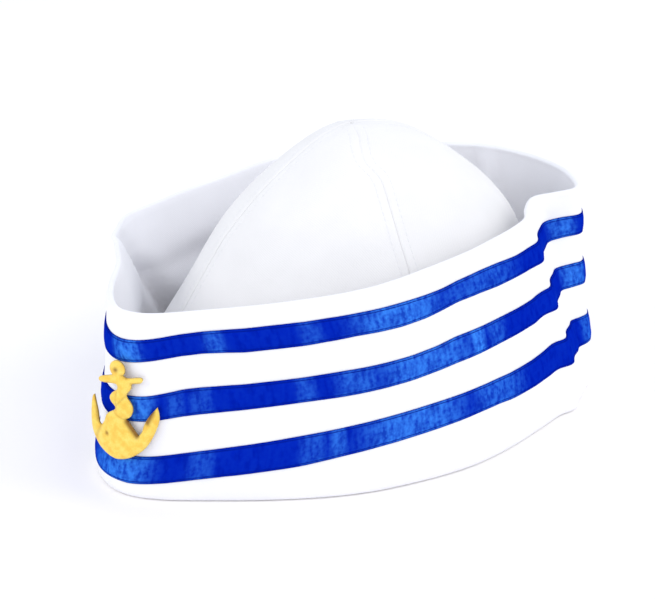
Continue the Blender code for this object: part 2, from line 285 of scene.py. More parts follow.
TOPSTITCH_DIP = 0.08
TOPSTITCH_DIP_WIDTH = 0.6
CROWN_CLOTH = 1.2              # thickness of a gore
CROWN_FULLNESS = (
    # name            degrees from the left side, half width   climb, half height   rise, mm
    ("slack_back",                        84.0,      34.0,      45.0,       18.0,       3.0),
)
CROWN_SWELLS = (
    # size of the swells, mm   height of the swells, mm
    (38.0,  0.55),
    (14.0,  0.12),
)
# painted shade: the crown's cloth, though the same as the cuff's, is made a little darker and less blue,
# which holds down its brightly lit top
CROWN_SHADED_WHITE = (0.845, 0.838, 0.84)
THREAD_PITCH = 0.42            # spacing of the cloth's threads, mm
WEAVE_RELIEF = 0.035


def soften(points, passes, axis, closed):
    """Averages points with their neighbours along an axis; an open row keeps its ends."""
    for _ in range(passes):
        before = np.roll(points, 1, axis)
        after = np.roll(points, -1, axis)
        mean = (before + 2 * points + after) / 4
        if not closed:
            ends = [slice(None)] * points.ndim
            for end in (0, -1):
                ends[axis] = end
                mean[tuple(ends)] = points[tuple(ends)]
        points = mean
    return points


def resample(points, places):
    """Rows of points read at fractional row numbers."""
    low = np.clip(np.floor(places).astype(int), 0, len(points) - 2)
    share = (places - low).reshape(-1, *[1] * (points.ndim - 1))
    return points[low] * (1 - share) + points[low + 1] * share


def bell(distance, width, power=2):
    """1 at a distance of 0, falling away on both sides of it."""
    return np.exp(-((distance / width) ** power))


def swells(points, sizes, seed=0.0):
    """How far smooth noises of some sizes and heights lift a grid of points, in mm."""
    lifted = np.zeros(points.shape[:2])
    start = Vector((seed, seed, seed))
    for size, height in sizes:
        waves = [[noise.noise(Vector(point) / size + start) for point in line] for line in points]
        lifted += height * np.array(waves)
    return lifted


def outward(points, round_about):
    """Directions square to a grid of points, its rows from low to high and its columns anticlockwise."""
    upwards = np.gradient(points, axis=0)
    if round_about:
        along = np.roll(points, -1, 1) - np.roll(points, 1, 1)
    else:
        along = np.gradient(points, axis=1)
    facing = np.cross(along, upwards)
    return facing / np.maximum(np.linalg.norm(facing, axis=2, keepdims=True), 1e-9)


def lay_cloth(name, points, cloth, material, levels=None):
    """An object of one grid of quads, taken to points in mm, with a map of the flat cloth in mm.

    The levels are named grids of numbers that the material reads.
    """
    rows, columns = points.shape[:2]
    bm = bmesh.new()
    bmesh.ops.create_grid(bm, x_segments=columns - 1, y_segments=rows - 1, size=0.5)
    chart = bm.loops.layers.uv.new("cloth")
    layers = [(bm.verts.layers.float.new(level), grid) for level, grid in (levels or {}).items()]
    places = {}
    for vertex in bm.verts:
        row = round((vertex.co.y + 0.5) * (rows - 1))
        column = round((vertex.co.x + 0.5) * (columns - 1))
        places[vertex] = cloth[row, column]
        vertex.co = points[row, column] * MM
        for layer, grid in layers:
            vertex[layer] = grid[row, column]
    for face in bm.faces:
        face.smooth = True
        for loop in face.loops:
            loop[chart].uv = places[loop.vert]
    bmesh.ops.remove_doubles(bm, verts=bm.verts, dist=0.01 * MM)
    return made_piece(name, bm, material)


def white_cloth(name, white):
    """Bleached plain weave: matt, with uneven threads, a little darker in broad random patches and, as
    painted shade, in the low places of its weave.
    """
    constants = {"Specular IOR Level": 0.25, "Sheen Weight": 0.12, "Sheen Roughness": 0.5}
    material, start, shader = new_finish(name, constants)
    chart = start.chart()
    threads = chart.stretched(*[math.pi / THREAD_PITCH] * 3)
    weave = threads.part(0).sine() * threads.part(1).sine()
    slubs = chart.speckle(1.6, detail=3.0)
    cloudy = chart.speckle(0.045)
    # darker tone in broad random patches and slubs and, as painted shade, in the weave's low places between
    # threads
    tone_and_weave_shade = (cloudy * 0.6 + slubs * 0.25 + weave * 0.08).ramp((0.25, 0.0), (0.62, 1.0))
    relief = (weave * 0.6 + slubs * 1.2).bump(0.6, WEAVE_RELIEF)
    roughness = slubs * 0.16 + 0.76
    darker_and_weave_shaded = tuple(0.94 * channel for channel in white)
    feed(shader, {"Base Color": tone_and_weave_shade.mix(darker_and_weave_shaded, white), "Roughness": roughness, "Normal": relief})
    return material


def merged_copy(node):
    """A bmesh of a frame node, its loose triangles joined."""
    bm = bmesh.new()
    bm.from_mesh(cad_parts[node].data)
    bmesh.ops.remove_doubles(bm, verts=bm.verts, dist=0.001 * MM)
    bm.normal_update()
    return bm


crown_nodes = ["crown_gore_" + name for name in GORE_NAMES]
skins = []
peaks = []
for node in crown_nodes:
    bm = merged_copy(node)
    skins.append(BVHTree.FromBMesh(bm))
    top = max(vertex.co.z for vertex in bm.verts)
    peaks += [vertex.co / MM for vertex in bm.verts if vertex.co.z > top - 0.01 * MM]
    bm.free()
crown_top = sum(peaks, Vector()) / len(peaks)
crown_axis = np.array((crown_top.x, crown_top.y, 0.0))
crown_foot = crown_axis + (0.0, 0.0, CROWN_FOOT)


def heading(angle, climb):
    """The direction at an angle round from the cap's left side and a climb, both in radians."""
    level = math.cos(climb)
    return np.array((level * math.cos(angle), level * math.sin(angle), math.sin(climb)))


def crown_reach(angle, climb):
    """How far the frame's crown reaches from the middle of its foot, in mm."""
    foot, direction = Vector(crown_foot), Vector(heading(angle, climb))
    start = foot + direction * crown_top.z * 2
    hits = [skin.ray_cast(start * MM, -direction) for skin in skins]
    return max(((hit[0] / MM - foot).length for hit in hits if hit[0] is not None), default=math.nan)


def bridged(row):
    """A row of reaches in which the few that fell into a seam are taken from their neighbours."""
    found = ~np.isnan(row)
    return np.interp(cast_angles, np.array(cast_angles)[found], row[found], period=2 * math.pi)


cast_angles = [2 * math.pi * (column + CAST_FROM[0]) / CAST_COLUMNS for column in range(CAST_COLUMNS)]
cast_climbs = [math.pi / 2 * (row + CAST_FROM[1]) / CAST_ROWS for row in range(CAST_ROWS)]
reaches = np.array([
    bridged(np.array([crown_reach(angle, climb) for angle in cast_angles])) for climb in cast_climbs
])
reaches = soften(reaches, CAST_SOFTENING, 1, True)
reaches = soften(reaches, CAST_SOFTENING, 0, False)
for _, angle, half_width, climb, half_height, rise in CROWN_FULLNESS:
    aside = bell(np.degrees(cast_angles) - angle, half_width)
    above = bell(np.degrees(cast_climbs) - climb, half_height)
    reaches += rise * above[:, None] * aside


def dome_point(angle, climb):
    """A point of the smooth dome, in mm."""
    column = (angle / (2 * math.pi) * CAST_COLUMNS - CAST_FROM[0]) % CAST_COLUMNS
    row = min(max(climb / (math.pi / 2) * CAST_ROWS - CAST_FROM[1], 0.0), CAST_ROWS - 1.001)
    left, low = int(column), int(row)
    near, far = reaches[low], reaches[low + 1]
    after = (left + 1) % CAST_COLUMNS
    lower = near[left] + (near[after] - near[left]) * (column - left)
    upper = far[left] + (far[after] - far[left]) * (column - left)
    reach = lower + (upper - lower) * (row - low)
    return crown_foot + reach * heading(angle, climb)


def seam_angle(index, height):
    """The direction of a seam at a height; the last one is the first again, a turn later."""
    angle = SEAMS[index % 4] + 360.0 * (index // 4)
    if index % 4 == 0:
        angle += float(np.interp(height, *zip(*NEAR_SEAM_DRIFT)))
    return math.radians(angle)


def seam_height(index, climb):
    return dome_point(math.radians(SEAMS[index % 4]), climb)[2]


def gore_points(index):
    """The gore's outer face before its seams are pressed in, rows from foot to top."""
    points = np.zeros((GORE_ROWS + 1, GORE_COLUMNS + 1, 3))
    for row in range(GORE_ROWS + 1):
        climb = math.pi / 2 * row / GORE_ROWS
        first, last = (seam_angle(seam, seam_height(seam, climb)) for seam in (index, index + 1))
        for column in range(GORE_COLUMNS + 1):
            share = column / GORE_COLUMNS
            eased = share - GORE_CROWDING * math.sin(2 * math.pi * share)
            points[row, column] = dome_point(first + (last - first) * eased, climb)
    return points


def seam_relief(distance):
    """Height of the cloth beside a seam, in mm, from the distance to it."""
    relief = SEAM_RIDGE * np.cos(math.pi / 2 * np.clip(distance / SEAM_RIDGE_WIDTH, 0, 1)) ** 2
    relief -= (SEAM_GROOVE + SEAM_RIDGE) * bell(distance, SEAM_GROOVE_WIDTH)
    relief -= TOPSTITCH_DIP * bell(distance - TOPSTITCH_FROM_SEAM, TOPSTITCH_DIP_WIDTH)
    return relief


def run_length(points, axis):
    """Distance along the rows or columns of a grid, starting from 0."""
    steps = np.linalg.norm(np.diff(points, axis=axis), axis=2)
    start = np.zeros_like(np.take(steps, [0], axis))
    return np.concatenate([start, np.cumsum(steps, axis)], axis)


crown_finish = white_cloth("crown_cloth", CROWN_SHADED_WHITE)
gore_faces = []
for index, name in enumerate(GORE_NAMES):
    points = gore_points(index)
    facing = outward(points, False)
    facing[-1] = (0, 0, 1)
    along = run_length(points, 1)
    to_seam = np.minimum(along, along[:, -1:] - along)
    relief = seam_relief(to_seam) + swells(points, CROWN_SWELLS)
    relief[-1] = relief[-1].mean()
    points = points + facing * relief[..., None]
    points[-1] = points[-1].mean(0)
    gore_faces.append((points, outward(points, False), along))
    cloth = np.dstack([along - along[:, -1:] / 2, run_length(points, 0)])
    gore = lay_cloth("crown_" + name, points, cloth, crown_finish)
    shell = gore.modifiers.new("cloth_thickness", "SOLIDIFY")
    shell.thickness = CROWN_CLOTH * MM
    shell.offset = -1.0
    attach(gore, "root")
    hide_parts(crown_nodes[index])

# --- cuff -------------------------------------------------
# A band of the same cloth over a stiff interlining, turned up all round the crown. Its rim and its bottom
# are folds, and the crown's lower edge is hemmed inside it.
CUFF_COLUMNS = 576
WALL_LEVELS = 40
LEVEL_FOOT = 0.09              # lowest slice through the wall, as a share of the rim's height
LEVEL_TOP = 0.98
RIM_HEIGHT = 80.9              # the rim is a slanting plane: its height over the cap's middle
RIM_RISE = 0.085               # and its climb towards the back
ALONG_SOFTENING = 12
KINK = (31.0, 74.0)            # where the cuff is folded in beside its back corner
KINK_REACH = 24.0
KINK_SOFTENING = 3
OUTER_ROWS = 84
INNER_ROWS = 48
WALL = 2.4
RIM_ARCH = 1.15                # how far the rim's fold is arched
RIM_ROWS = 2                   # rows of the wall that the fold takes up
RIM_STEPS = 9
FOLD_ROWS = (
    # share of the lowest slice's height   inset from the outer face
    (0.00, 3.2),
    (0.03, 2.1),
    (0.12, 1.15),
    (0.26, 0.55),
    (0.45, 0.2),
    (0.70, 0.05),
)
TROUGH_CLEARANCE = 1.0         # the inner wall ends this far above the trough
TROUGH_ROWS = (
    # height  inset from the outer face
    (7.0, 2.4),
    (5.4, 2.5),
    (4.2, 2.9),
    (3.4, 3.6),
)
HEM_ROWS = (
    # height  share of the way from the trough to the crown's inner face
    (3.0, 0.5),
    (3.0, 0.98),
    (2.4, 1.06),
    (1.2, 1.06),
    (0.4, 0.98),
    (0.25, 0.6),
    (0.45, 0.45),
    (0.05, 0.3),
)
CUFF_FOLDS = (
    # name                  foot: x, y         rim: x, y     height  half length  half height  depth in
    ("right_front_crease", -66.0,  -30.0,  -66.0,  -30.0,      48.5,        30.0,         6.4,   -3.2),
    ("right_front_flap",   -65.0,  -45.0,  -22.0,  -82.5,      40.0,         4.0,        30.0,    1.0),
    ("right_front_corner", -70.4,  -38.5,  -27.2,  -76.4,      34.0,         6.3,        34.0,   -6.4),
    ("right_back_fold",    -42.0,   98.0,  -38.5,   81.0,      70.0,         3.2,        12.0,    2.0),
    ("right_back_hollow",  -48.0,   94.0,  -43.5,   78.0,      70.0,         3.2,        12.0,   -1.6),
    ("back_crease",        -10.0,  110.0,  -10.0,   95.0,      55.0,        18.0,         6.0,    0.6),
    ("kink_ridge",          37.0,   87.0,   41.9,   61.8,      25.0,         5.5,        62.0,   -3.0),
    ("kink_valley",         24.5,  100.4,   25.5,   73.0,      45.0,         3.5,        90.0,    0.9),
    ("front_swell",         14.0, -102.0,   16.0,  -95.0,      70.0,        34.0,        40.0,   -0.8),
)
# painted shade: the cloth's slight blue tint stands in for the cool shade inside the cuff
CUFF_SHADE_TINTED_WHITE = (0.895, 0.895, 0.935)
CUFF_SWELLS = (
    # size, mm  height, mm
    (34.0,  0.35),
    (11.0,  0.10),
)
CUFF_SEED = 7.0


def chain_longest(edges):
    """The longest closed run of linked edges, as its points in mm."""
    links = {}
    for edge in edges:
        for vertex in edge.verts:
            links.setdefault(vertex, []).append(edge.other_vert(vertex))
    best, best_length = None, 0.0
    unused = set(links)
    while unused:
        vertex = unused.pop()
        run = [vertex]
        while True:
            onward = [other for other in links[vertex] if other in unused]
            if not onward:
                break
            vertex = onward[0]
            unused.discard(vertex)
            run.append(vertex)
        length = sum((a.co - b.co).length for a, b in zip(run, run[1:]))
        if length > best_length:
            best, best_length = [tuple(vertex.co / MM) for vertex in run], length
    return np.array(best)


def read_along(at, length, points):
    """The points of a run read at a distance along it."""
    return np.stack([np.interp(at, length, points[:, axis]) for axis in range(3)], -1)


def bearings(points, side=1):
    """The angles of points round the crown's axis, from the cap's left side, or its right where -1."""
    aside = (points - crown_axis) * side
    return np.arctan2(aside[:, 1], aside[:, 0])


def wrapped(grid):
    """A grid with its first column repeated after its last."""
    return np.concatenate([grid, grid[:, :1]], 1)


def wall_slice(level):
    """The cuff's outer face at one level, as evenly spaced points that start at the cap's right side."""
    bm = merged_copy("cuff")
    cut = bmesh.ops.bisect_plane(
        bm, geom=bm.verts[:] + bm.edges[:] + bm.faces[:], dist=1e-8,
        plane_co=(0, 0, level * RIM_HEIGHT * MM), plane_no=(0, -level * RIM_RISE, 1),
    )
    run = chain_longest([item for item in cut["geom_cut"] if isinstance(item, bmesh.types.BMEdge)])
    bm.free()
    ahead = np.roll(run, -1, 0)
    if (run[:, 0] * ahead[:, 1] - ahead[:, 0] * run[:, 1]).sum() < 0:
        run = run[::-1]
    run = np.roll(run, -int(np.argmin(np.abs(bearings(run, -1)))), 0)
    loop = np.vstack([run, run[:1]])
    length = run_length(loop[None], 1)[0]
    start = float(np.interp(0.0, np.unwrap(bearings(loop, -1)), length))
    places = (start + np.arange(CUFF_COLUMNS) * length[-1] / CUFF_COLUMNS) % length[-1]
    return read_along(places, length, loop)


def wall_shape(levels):
    """The terms of the wall's upright section: a leaning line, bowed inwards."""
    return np.stack([levels ** 0, levels, levels ** 2, levels ** 3, np.sin(math.pi * levels)], 1)


levels = np.linspace(LEVEL_FOOT, LEVEL_TOP, WALL_LEVELS)
wall = np.stack([wall_slice(level) for level in levels])
near_kink = bell(np.linalg.norm(wall[..., :2] - KINK, axis=2), KINK_REACH, 4)[..., None]
crisp = soften(wall, KINK_SOFTENING, 1, True)
wall = soften(wall, ALONG_SOFTENING, 1, True) * (1 - near_kink) + crisp * near_kink
bow = wall_shape(levels)
fit = np.linalg.lstsq(bow, wall.reshape(WALL_LEVELS, -1), rcond=None)[0]


def pressed_folds(points, facing):
    """Moves the wall's points in or out where the cuff is creased or swells."""
    along = run_length(points, 1)
    total = along[:, -1:] * CUFF_COLUMNS / (CUFF_COLUMNS - 1)
    move = np.zeros(points.shape[:2])
    share = points[..., 2].mean(1) / RIM_HEIGHT
    for _, low_x, low_y, rim_x, rim_y, height, half_length, half_height, depth in CUFF_FOLDS:
        x, y = low_x + (rim_x - low_x) * share[:, None], low_y + (rim_y - low_y) * share[:, None]
        columns = np.argmin(np.hypot(points[..., 0] - x, points[..., 1] - y), 1)
        aside = np.abs(along - np.take_along_axis(along, columns[:, None], 1))
        aside = np.minimum(aside, total - aside)
        move -= depth * bell(aside, half_length) * bell(points[..., 2] - height, half_height)
    move += swells(points, CUFF_SWELLS, CUFF_SEED)
    return points + facing * move[..., None]


outer_levels = np.linspace(LEVEL_FOOT, 1.0, OUTER_ROWS)
outer = (wall_shape(outer_levels) @ fit).reshape(OUTER_ROWS, CUFF_COLUMNS, 3)
outer = pressed_folds(outer, outward(outer, True))
outer_facing = outward(outer, True)
flat_facing = outer_facing.copy()
flat_facing[..., 2] = 0
flat_facing /= np.linalg.norm(flat_facing, axis=2, keepdims=True)


def cuff_rows():
    """All rows of the cuff's closed section, from the underside out, over the rim and back below."""
    foot, foot_facing = outer[0], flat_facing[0]
    rows = []
    for share, inset in FOLD_ROWS:
        rows.append(foot - foot_facing * inset)
        rows[-1][:, 2] = foot[:, 2] * share
    rows += list(outer[:-RIM_ROWS])
    rim, rim_facing = outer[-1], flat_facing[-1]
    for step in range(RIM_STEPS):
        turn = math.pi * step / (RIM_STEPS - 1)
        rows.append(rim - rim_facing * WALL / 2 * (1 - math.cos(turn)))
        rows[-1][:, 2] += RIM_ARCH * (math.sin(turn) - 1)
    inner_places = np.linspace(OUTER_ROWS - 1 - RIM_ROWS, 0, INNER_ROWS)
    inner = resample(outer, inner_places) - resample(flat_facing, inner_places) * WALL
    rows += [row for row in inner if row[:, 2].min() > TROUGH_ROWS[0][0] + TROUGH_CLEARANCE]
    for height, inset in TROUGH_ROWS:
        rows.append(foot - foot_facing * inset)
        rows[-1][:, 2] = height
    trough = rows[-1]
    edge = np.array([
        dome_point(angle, 0.0) - CROWN_CLOTH * heading(angle, 0.0) for angle in bearings(trough)
    ])
    for height, share in HEM_ROWS:
        rows.append(trough + (edge - trough) * share)
        rows[-1][:, 2] = height
    return np.stack([*rows, rows[0]])


rows = wrapped(cuff_rows())
cuff_cloth = np.dstack([run_length(rows, 1), run_length(rows, 0)])
cuff = lay_cloth("cuff_band", rows, cuff_cloth, white_cloth("cuff_cloth", CUFF_SHADE_TINTED_WHITE))
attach(cuff, "root")
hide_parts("cuff")

# --- ribbons ----------------------------------------------
# Three royal-blue satin ribbons, about 10 mm wide, sewn flat round the cuff along both edges. Between the
# stitches the satin puckers a little.
RIBBONS = ("ribbon_top", "ribbon_middle", "ribbon_bottom")
RIBBON_ROWS = 15
RIBBON_EDGE = 0.42             # how far the ribbon's edge stands off the cuff
RIBBON_PUFF = 0.42             # and its middle beyond that
PUFF_RUN = 3.0                 # it is as puffed as its middle this far in from an edge
PUFF_ROUNDING = 0.6
RIBBON_SUNK = 0.12             # its back lies this far inside the cuff's cloth
STITCH_FROM_EDGE = 0.9
STITCH_DIP = 0.16
STITCH_DIP_WIDTH = 0.5
PUCKER_SIZE = (3.6, 3.6, 10.8)
PUCKER_HEIGHT = 0.17
PUCKER_RUN = 1.2               # the puckers have their height this far in from an edge
PUCKER_AT_EDGE = 0.25          # and this share of it at the edge
BLUE_DEEP = (0.0003, 0.012, 0.36)
BLUE = (0.0004, 0.015, 0.41)
# painted highlight: the lighter blue of the patches where the satin seems to shine
BLUE_PAINTED_HIGHLIGHT = (0.040, 0.225, 0.82)
# dark blue along the stitch lines, and painted shade along the ribbon's very edges
BLUE_STITCH_AND_EDGE_SHADE = (0.0010, 0.006, 0.17)
SATIN_RIB = 0.3                # spacing of the satin's fine ribs, mm
SATIN_RELIEF = 0.03
RIBBON_LIFTS = {
    # degrees from the left side, then how far the hand-sewn ribbon's upper and lower edge stray up, mm
    "ribbon_top": (
        (-80.0,  0.0,  0.0), (-70.0,  0.0,  0.3), (-64.0,  0.5,  1.1), (-59.0,  1.1,  1.8),
        (-55.0,  1.0,  1.7), (-47.0,  0.0,  0.0), (-34.0, -0.8, -0.8), (-20.0, -0.8, -0.5),
        ( -6.0, -1.2, -1.5), (  3.0, -1.5, -1.4), ( 10.0, -1.3, -0.6), ( 17.0, -0.4,  0.4),
        ( 27.0,  0.0,  0.3), ( 36.0, -0.4, -0.4), ( 46.0, -1.1, -0.4), ( 56.0, -0.9, -0.7),
        ( 75.0, -1.1, -0.2), ( 80.0, -1.1,  0.0), ( 95.0,  0.0,  0.0),
    ),
    "ribbon_middle": (
        (-80.0,  0.0,  0.0), (-64.0, -0.2, -0.2), (-58.0,  1.1,  0.5), (-55.0,  0.9,  0.4),
        (-47.0,  0.0,  0.0), (-34.0, -0.7, -0.4), (-24.0, -0.9, -1.1), (-13.0, -1.5, -1.6),
        ( -3.0, -1.9, -1.9), (  7.0, -1.5, -1.5), ( 15.0, -0.5, -1.1), ( 45.0, -0.8, -1.1),
        ( 54.0, -0.7, -1.0), ( 60.0,  0.6,  0.2), ( 77.0,  0.5,  0.6), ( 95.0,  0.0,  0.0),
    ),
    "ribbon_bottom": (
        (-80.0,  0.0,  0.0), (-70.0, -0.4, -1.0), (-63.0, -1.1, -1.3), (-47.0, -0.8, -1.5),
        (-34.0, -0.4, -1.5), (-24.0, -0.4, -0.9), (  6.0, -0.8, -0.8), ( 22.0, -1.1, -0.7),
        ( 32.0, -1.5, -1.2), ( 38.0, -1.9, -2.0), ( 50.0, -1.9, -2.2), ( 58.0, -1.1, -1.8),
        ( 62.0,  0.0, -1.1), ( 79.0,  0.0, -1.2), ( 95.0,  0.0,  0.0),
    ),
}
PAINTED_HIGHLIGHTS = {
    # painted highlights: stretches where the satin is coloured a lighter blue, as if it shone: place on the
    # plan, half length and strength
    "ribbon_top": (
        ("front_bend",    47.0,  -99.0,   6.0,  1.00),
        ("left_front",    62.6,  -71.0,   3.6,  0.50),
        ("left_low",      72.5,  -38.0,   4.0,  0.30),
        ("left_middle",   73.5,   -4.0,  18.0,  0.85),
        ("left_back",     62.0,   32.0,  20.0,  0.42),
        ("kink",          26.0,   84.0,   6.0,  0.75),
        ("right_back",   -56.0,   62.0,  14.0,  0.50),
        ("right_middle", -72.0,  -20.0,  16.0,  0.50),
    ),
    "ribbon_middle": (
        ("front_bend",    51.0,  -96.5,   6.0,  0.90),
        ("left_front_1",  58.0,  -84.5,   3.0,  0.35),
        ("left_front_2",  61.5,  -76.0,   4.0,  0.30),
        ("left_low",      73.0,  -40.0,   3.5,  0.35),
        ("left_middle_1", 75.4,  -21.0,   8.0,  0.50),
        ("left_middle_2", 73.0,    8.0,  20.0,  0.80),
        ("left_back_1",   65.5,   31.0,   3.5,  1.00),
        ("left_back_2",   61.0,   40.0,   5.0,  0.40),
        ("kink",          23.0,   91.5,   6.5,  0.85),
        ("right_back",   -66.0,   50.0,  18.0,  0.50),
        ("right_front",  -62.0,  -48.0,  12.0,  0.45),
    ),
    "ribbon_bottom": (
        ("front_bend",    44.0, -103.0,  14.0,  0.90),
        ("left_front",    62.5,  -77.0,   5.0,  0.30),
        ("left_low",      74.5,  -38.0,   5.0,  0.35),
        ("left_middle_1", 76.3,  -29.0,   3.0,  0.60),
        ("left_middle_2", 76.0,    2.0,  21.0,  0.80),
        ("left_back",     64.0,   41.0,  14.0,  0.55),
        ("kink",          20.5,   99.5,   4.0,  0.60),
        ("right_back",   -60.0,   75.0,  10.0,  0.40),
        ("right_middle", -77.0,   -5.0,  20.0,  0.55),
    ),
}


def ribbon_edges(node):
    """The angles and the heights round a frame ribbon's lower edge, and round its upper edge."""
    bm = merged_copy(node)
    edges = []
    for side in (-1, 1):
        edge = [vertex.co / MM for vertex in bm.verts if vertex.normal.z * side > 0]
        edge = sorted((math.atan2(y - crown_axis[1], x - crown_axis[0]), z) for x, y, z in edge)
        edges.append(tuple(zip(*edge)))
    bm.free()
    return edges


def on_wall(heights):
    """Points and outward directions of the cuff's wall at one height for each column."""
    points, facing = np.zeros((2, CUFF_COLUMNS, 3))
    for column, height in enumerate(heights):
        line = outer[:, column, 2]
        points[column] = read_along(height, line, outer[:, column])
        facing[column] = read_along(height, line, outer_facing[:, column])
    return points, facing


def ribbon_lines(node):
    """Heights of the ribbon's lower and upper edge at each of the cuff's columns."""
    lines = []
    places, *lifts = zip(*RIBBON_LIFTS[node])
    for (angles, heights), lift in zip(ribbon_edges(node), reversed(lifts)):
        points, _ = on_wall(np.full(CUFF_COLUMNS, np.mean(heights)))
        at = bearings(points)
        line = np.interp(at, angles, heights, period=2 * math.pi)
        line += np.interp(np.degrees(at), places, lift, period=360.0)
        lines.append(soften(line, KINK_SOFTENING, 0, True))
    return lines


def satin():
    """Royal-blue satin: fine ribs, blotchy painted highlights in patches, dark lines where it is sewn and
    painted shade along its edges.
    """
    material, start, shader = new_finish("blue_satin", {
        "Specular IOR Level": 0.0, "Specular Tint": (0.1, 0.4, 1.0, 1.0), "Metallic": 0.14,
        "Anisotropic": 0.7, "Anisotropic Rotation": 0.25,
    })
    chart = start.chart()
    painted_highlight = start.level("painted_highlight")
    from_edge = start.level("from_edge")
    ribs = (chart.part(1) * (2 * math.pi / SATIN_RIB)).sine()
    ruffles = chart.stretched(1.0, 0.4, 1.0).speckle(0.42)
    blotches = chart.speckle(0.6, detail=1.0)
    mottle = (ruffles * 0.6 + blotches * 0.4).ramp((0.39, 0.0), (0.61, 1.0))
    # painted highlight: lighter blue where the highlight patches lie, broken up by the mottle
    painted_highlight_and_mottle = painted_highlight * (mottle * 0.75 + 0.25) + mottle * 0.03
    deep = ruffles.ramp((0.32, 0.0), (0.5, 1.0))
    colour = painted_highlight_and_mottle.mix(deep.mix(BLUE_DEEP, BLUE), BLUE_PAINTED_HIGHLIGHT)
    # dark along the stitch lines, and painted shade at the ribbon's very edges
    stitch_lines_and_edge_shade = (from_edge * 0.5).ramp((0.0, 0.75), (0.14, 0.15), (0.32, 0.15), (0.45, 0.8), (0.60, 0.0))
    relief = (ribs * 0.5 + ruffles * 3.0 + blotches).bump(0.4, SATIN_RELIEF)
    feed(shader, {
        "Base Color": stitch_lines_and_edge_shade.mix(colour, BLUE_STITCH_AND_EDGE_SHADE), "Roughness": 0.44 - painted_highlight_and_mottle * 0.12, "Normal": relief,
    })
    return material


satin_finish = satin()
ribbon_surfaces = {}
for node in RIBBONS:
    lower, upper = ribbon_lines(node)
    width = upper - lower
    lines = []
    edge_lines = []
    for row in range(RIBBON_ROWS):
        share = row / (RIBBON_ROWS - 1)
        points, facing = on_wall(lower + width * share)
        from_edge = min(share, 1 - share) * width
        proud = RIBBON_EDGE + RIBBON_PUFF * np.clip(from_edge / PUFF_RUN, 0, 1) ** PUFF_ROUNDING
        proud -= STITCH_DIP * bell(from_edge - STITCH_FROM_EDGE, STITCH_DIP_WIDTH)
        puckers = np.array([noise.noise(Vector(point)) for point in points / PUCKER_SIZE])
        proud += PUCKER_HEIGHT * puckers * np.clip(from_edge / PUCKER_RUN, PUCKER_AT_EDGE, 1)
        lines.append(points + facing * proud[:, None])
        edge_lines.append(from_edge)
    front = np.stack(lines)
    middle = front[RIBBON_ROWS // 2]
    # painted highlight: how strongly each column lies in a patch of lighter blue
    painted_highlight = np.zeros(CUFF_COLUMNS)
    for _, x, y, half_length, strength in PAINTED_HIGHLIGHTS[node]:
        away = np.hypot(middle[:, 0] - x, middle[:, 1] - y)
        painted_highlight = np.maximum(painted_highlight, strength * bell(away, half_length, 4))
    tucked = [points - facing * RIBBON_SUNK for points, facing in (on_wall(upper), on_wall(lower))]
    section = wrapped(np.concatenate([front, tucked, front[:1]]))
    from_edge = np.concatenate([edge_lines, np.zeros((3, CUFF_COLUMNS))])
    levels = {"from_edge": wrapped(from_edge), "painted_highlight": wrapped(np.tile(painted_highlight, (len(section), 1)))}
    along = np.tile(run_length(section, 1)[RIBBON_ROWS // 2], (len(section), 1))
    chart = np.dstack([along, run_length(section, 0)])
    ribbon = lay_cloth(node.replace("ribbon", "satin"), section, chart, satin_finish, levels)
    ribbon_surfaces[node] = (front, outward(front, True))
    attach(ribbon, "root")
    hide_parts(node)

# --- badge ------------------------------------------------
# A little anchor of padded gold satin stitch, stiff enough to stand off the cuff's bend at its left arm,
# and sewn on over the ribbons. Brown painted shade lies along its inner edges, between its parts, on its
# sides and in the ring's hole.
BADGE_FACING = 40.0            # degrees round from the cap's front
BADGE_LEAN = math.radians(4)
BADGE_BEND = 31.6              # radius of its face
BADGE_MIDDLE = (-29.4, 33.0)   # along its own face from the cap's axis, and height
BADGE_HALF_SIZE = (15.0, 19.0)
RING_CENTRE = (1.0, 18.3)
RING_RADIUS = 3.25
RING_ENDS = (-48.0, 222.0)
RING_POINTS = 18
ANCHOR_OUTLINE = (
    # part, whether it ends in a sharp corner, then its points: across and up from the badge's middle,
    # anticlockwise from the ring's left foot
    ("stock_left", False, ((-1.9, 15.6), (-7.4, 14.2), (-8.6, 13.0), (-7.3, 12.0), (-2.2, 12.4))),
    ("shank_left", False, (
        (0.3, 12.2), (0.2, 10.4), (-2.0, 9.0), (-3.4, 7.2), (-2.9, 5.4), (-1.2, 3.7), (-1.7, 2.3),
    )),
    ("body_left", True, ((-4.1, 1.1), (-5.8, -0.4), (-7.0, -2.8), (-8.8, -4.9))),
    ("left_arm_inside", True, ((-10.4, -4.2), (-11.0, -0.3), (-12.0, 2.9), (-12.9, 5.8))),
    ("left_arm_outside", False, (
        (-14.1, 2.5), (-14.8, -2.9), (-14.2, -7.4), (-12.0, -10.8), (-9.6, -13.2), (-5.8, -15.4),
    )),
    ("keel", False, ((-2.7, -16.4), (0.0, -16.4), (2.6, -15.9), (5.6, -14.7))),
    ("right_arm_outside", True, (
        (8.7, -12.8), (11.4, -10.1), (13.5, -6.9), (15.0, -3.9), (16.0, -1.2), (16.1, 1.5), (15.6, 3.9),
    )),
    ("right_arm_inside", True, (
        (14.1, 2.4), (12.4, 0.7), (10.8, -1.4), (9.9, -3.2), (9.1, -5.4), (7.6, -7.0),
    )),
    ("body_right", True, ((6.2, -5.0), (4.7, -2.8), (2.9, -0.9))),
    ("shank_right", False, ((5.1, 0.4), (6.2, 2.9), (5.7, 5.2), (3.9, 8.2), (6.1, 11.0))),
    ("stock_right", False, ((6.6, 12.9), (10.0, 13.4), (11.0, 14.5), (10.0, 15.5), (4.9, 15.0))),
)
OUTLINE_STEPS = 3
BADGE_CELL = 0.55              # spacing of the badge's own grid
GRID_REACH = 20.0
GRID_SHIFT = 0.37              # in cells, to keep the grid off the outline's points
